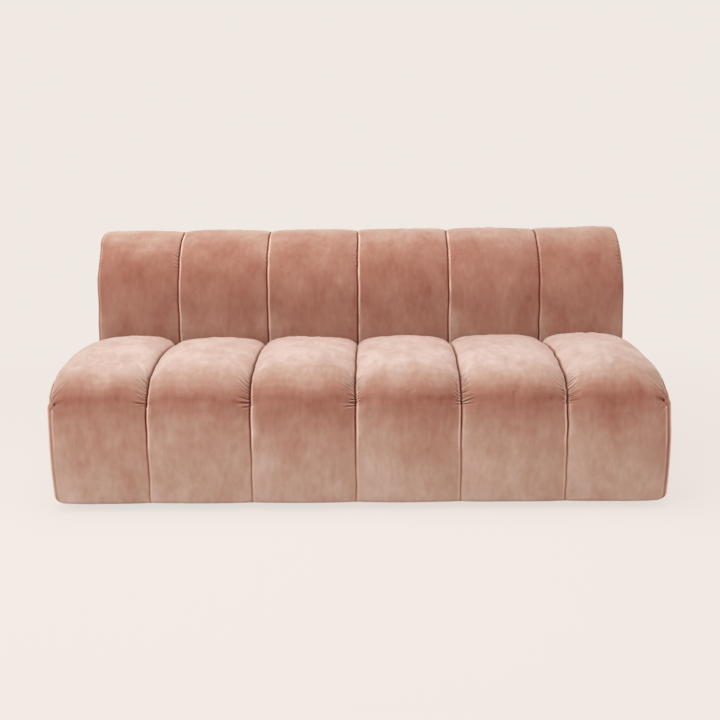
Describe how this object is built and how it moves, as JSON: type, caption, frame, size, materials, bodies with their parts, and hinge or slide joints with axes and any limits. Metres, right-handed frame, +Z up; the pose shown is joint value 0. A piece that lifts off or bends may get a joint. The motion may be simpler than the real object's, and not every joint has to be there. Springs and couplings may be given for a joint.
{
  "type": "armless sofa",
  "caption": "Armless sofa with crowned vertical channels over the seat and rolled back, padded end panels, a sprung timber frame and low hidden feet.",
  "frame": {"origin": "on the floor under the middle of the sofa's box", "axes": "+X along the width, to the right as seen from the front; +Y towards the back; +Z up. The sofa faces -Y"},
  "size_m": [1.79, 0.9201, 0.7719],
  "materials": {
    "velvet": "dusty pink upholstery velvet, soft sheen",
    "foam": "open-cell upholstery foam under wadding",
    "felt": "needled polyester felt",
    "webbing": "woven elastic webbing",
    "dust_cloth": "black spun-bonded dust cloth",
    "spring_steel": "drawn spring wire",
    "screw_steel": "zinc-plated steel",
    "foot_plastic": "black moulded plastic",
    "glide_rubber": "non-slip rubber pad",
    "hardboard": "pressed hardboard",
    "plywood": "birch plywood, bare",
    "solid_wood": "planed pine, bare"
  },
  "bodies": {
    "root": {"back_cover_1": "velvet", "back_cover_2": "velvet", "back_cover_3": "velvet", "back_cover_4": "velvet", "back_cover_5": "velvet", "back_cover_6": "velvet", "back_foam_core": "foam", "back_front_rail": "solid_wood", "back_pad_1": "foam", "back_pad_2": "foam", "back_pad_3": "foam", "back_pad_4": "foam", "back_pad_5": "foam", "back_pad_6": "foam", "back_top_rail": "solid_wood", "back_webbing": "webbing", "corner_blocks": "solid_wood", "dust_cover": "dust_cloth", "feet": "foot_plastic", "foot_blocks": "solid_wood", "foot_glides": "glide_rubber", "foot_screws": "screw_steel", "frame_screws": "screw_steel", "front_board": "plywood", "front_bottom_rail": "solid_wood", "front_top_rail": "solid_wood", "inner_frames": "plywood", "left_back_side_cover": "velvet", "left_back_side_pad": "foam", "left_end_frame": "plywood", "left_seat_side_cover": "velvet", "left_seat_side_pad": "foam", "lumbar_rail": "solid_wood", "outside_back_cover": "velvet", "rear_board": "hardboard", "rear_bottom_rail": "solid_wood", "rear_padding": "felt", "right_back_side_cover": "velvet", "right_back_side_pad": "foam", "right_end_frame": "plywood", "right_seat_side_cover": "velvet", "right_seat_side_pad": "foam", "seat_cover_1": "velvet", "seat_cover_2": "velvet", "seat_cover_3": "velvet", "seat_cover_4": "velvet", "seat_cover_5": "velvet", "seat_cover_6": "velvet", "seat_foam_core": "foam", "seat_pad_1": "foam", "seat_pad_2": "foam", "seat_pad_3": "foam", "seat_pad_4": "foam", "seat_pad_5": "foam", "seat_pad_6": "foam", "seat_rear_rail": "solid_wood", "seat_springs": "spring_steel", "spring_clips": "spring_steel", "spring_insulator": "felt", "spring_tie_wires": "spring_steel"}
  },
  "joints": []
}
